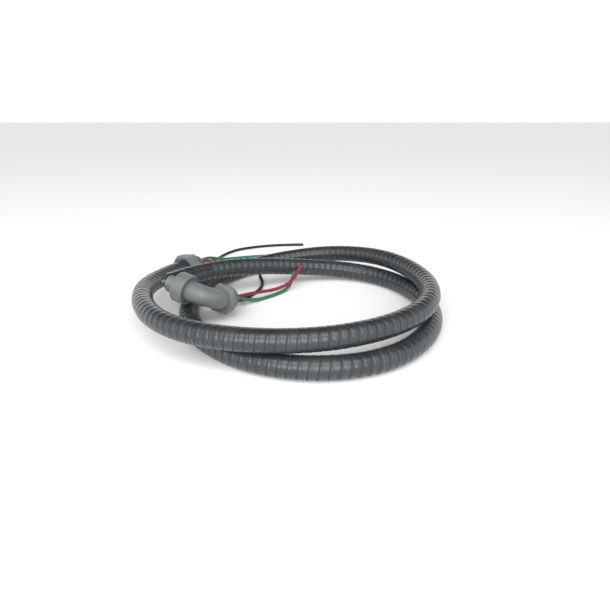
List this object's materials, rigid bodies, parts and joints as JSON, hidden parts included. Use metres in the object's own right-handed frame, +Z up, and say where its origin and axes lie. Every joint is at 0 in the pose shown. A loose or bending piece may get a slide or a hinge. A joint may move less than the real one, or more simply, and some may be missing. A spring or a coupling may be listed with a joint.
{
  "type": "liquidtight flexible conduit whip",
  "caption": "Coiled liquidtight flexible conduit with insulated wires run through it, a straight connector on one end and a right-angle connector at the other.",
  "frame": {"origin": "on the floor, under the middle of the conduit and its connectors, without the free wire ends", "axes": "+Z up; +X across the widest part of the coil; +Y from the front of the coil towards the straight connector and its wire ends"},
  "size_m": [0.3386, 0.4214, 0.0564],
  "materials": {
    "jacket": "semi-gloss dark grey PVC jacket over a helical strip",
    "steel_strip": "galvanised interlocked strip",
    "black_insulation": "smooth black nylon-coated insulation",
    "red_insulation": "smooth red nylon-coated insulation",
    "green_insulation": "smooth green nylon-coated insulation",
    "copper": "bare copper strands",
    "connector": "satin moulded grey plastic",
    "seal_ring": "smooth moulded sealing ring",
    "gasket": "matt black rubber",
    "locknut": "satin moulded grey plastic"
  },
  "bodies": {
    "whip": {"conduit_jacket": "jacket", "conduit_core": "steel_strip", "black_insulation": "black_insulation", "black_conductor": "copper", "black_tail_straight": "black_insulation", "black_tail_straight_copper": "copper", "black_tail_elbow": "black_insulation", "black_tail_elbow_copper": "copper", "red_insulation": "red_insulation", "red_conductor": "copper", "red_tail_straight": "red_insulation", "red_tail_straight_copper": "copper", "red_tail_elbow": "red_insulation", "red_tail_elbow_copper": "copper", "green_insulation": "green_insulation", "green_conductor": "copper", "green_tail_straight": "green_insulation", "green_tail_straight_copper": "copper", "green_tail_elbow": "green_insulation", "green_tail_elbow_copper": "copper", "straight_body": "connector", "straight_ferrule": "connector", "elbow_body": "connector", "elbow_ferrule": "connector"},
    "straight_ring": {"straight_grip_ring": "seal_ring"},
    "straight_nut": {"straight_gland_nut": "connector"},
    "straight_washer": {"straight_gasket": "gasket"},
    "straight_lock": {"straight_locknut": "locknut"},
    "elbow_ring": {"elbow_grip_ring": "seal_ring"},
    "elbow_nut": {"elbow_gland_nut": "connector"},
    "elbow_washer": {"elbow_gasket": "gasket"},
    "elbow_lock": {"elbow_locknut": "locknut"}
  },
  "joints": [
    {"name": "straight_gland_travel", "type": "slide", "parent": "whip", "child": "straight_ring", "axis": [-0.3302, -0.9397, 0.0889], "range_m": [0, 0.00599]},
    {"name": "straight_gland_turn", "type": "hinge", "parent": "straight_ring", "child": "straight_nut", "pos_m": [-0.14063, 0.09166, 0.01763], "axis": [-0.3302, -0.9397, 0.0889], "range_deg": [0, 1080]},
    {"name": "straight_lock_travel", "type": "slide", "parent": "whip", "child": "straight_washer", "axis": [0.3302, 0.9397, -0.0889], "range_m": [0, 0.00906]},
    {"name": "straight_lock_turn", "type": "hinge", "parent": "straight_washer", "child": "straight_lock", "pos_m": [-0.14063, 0.09166, 0.01763], "axis": [0.3302, 0.9397, -0.0889], "range_deg": [0, 1800]},
    {"name": "elbow_gland_travel", "type": "slide", "parent": "whip", "child": "elbow_ring", "axis": [-0.9041, 0.3653, 0.2215], "range_m": [0, 0.00599]},
    {"name": "elbow_gland_turn", "type": "hinge", "parent": "elbow_ring", "child": "elbow_nut", "pos_m": [-0.10908, -0.03442, 0.04084], "axis": [-0.9041, 0.3653, 0.2215], "range_deg": [0, 1080]},
    {"name": "elbow_lock_travel", "type": "slide", "parent": "whip", "child": "elbow_washer", "axis": [0.2738, 0.8935, -0.3558], "range_m": [0, 0.00906]},
    {"name": "elbow_lock_turn", "type": "hinge", "parent": "elbow_washer", "child": "elbow_lock", "pos_m": [-0.073, -0.049, 0.032], "axis": [0.2738, 0.8935, -0.3558], "range_deg": [0, 1800]}
  ],
  "couplings": [
    {"joint": "straight_gland_turn", "follows": "straight_gland_travel", "rad_per_m": 3141.6},
    {"joint": "straight_lock_turn", "follows": "straight_lock_travel", "rad_per_m": 3463.7},
    {"joint": "elbow_gland_turn", "follows": "elbow_gland_travel", "rad_per_m": 3141.6},
    {"joint": "elbow_lock_turn", "follows": "elbow_lock_travel", "rad_per_m": 3463.7}
  ]
}
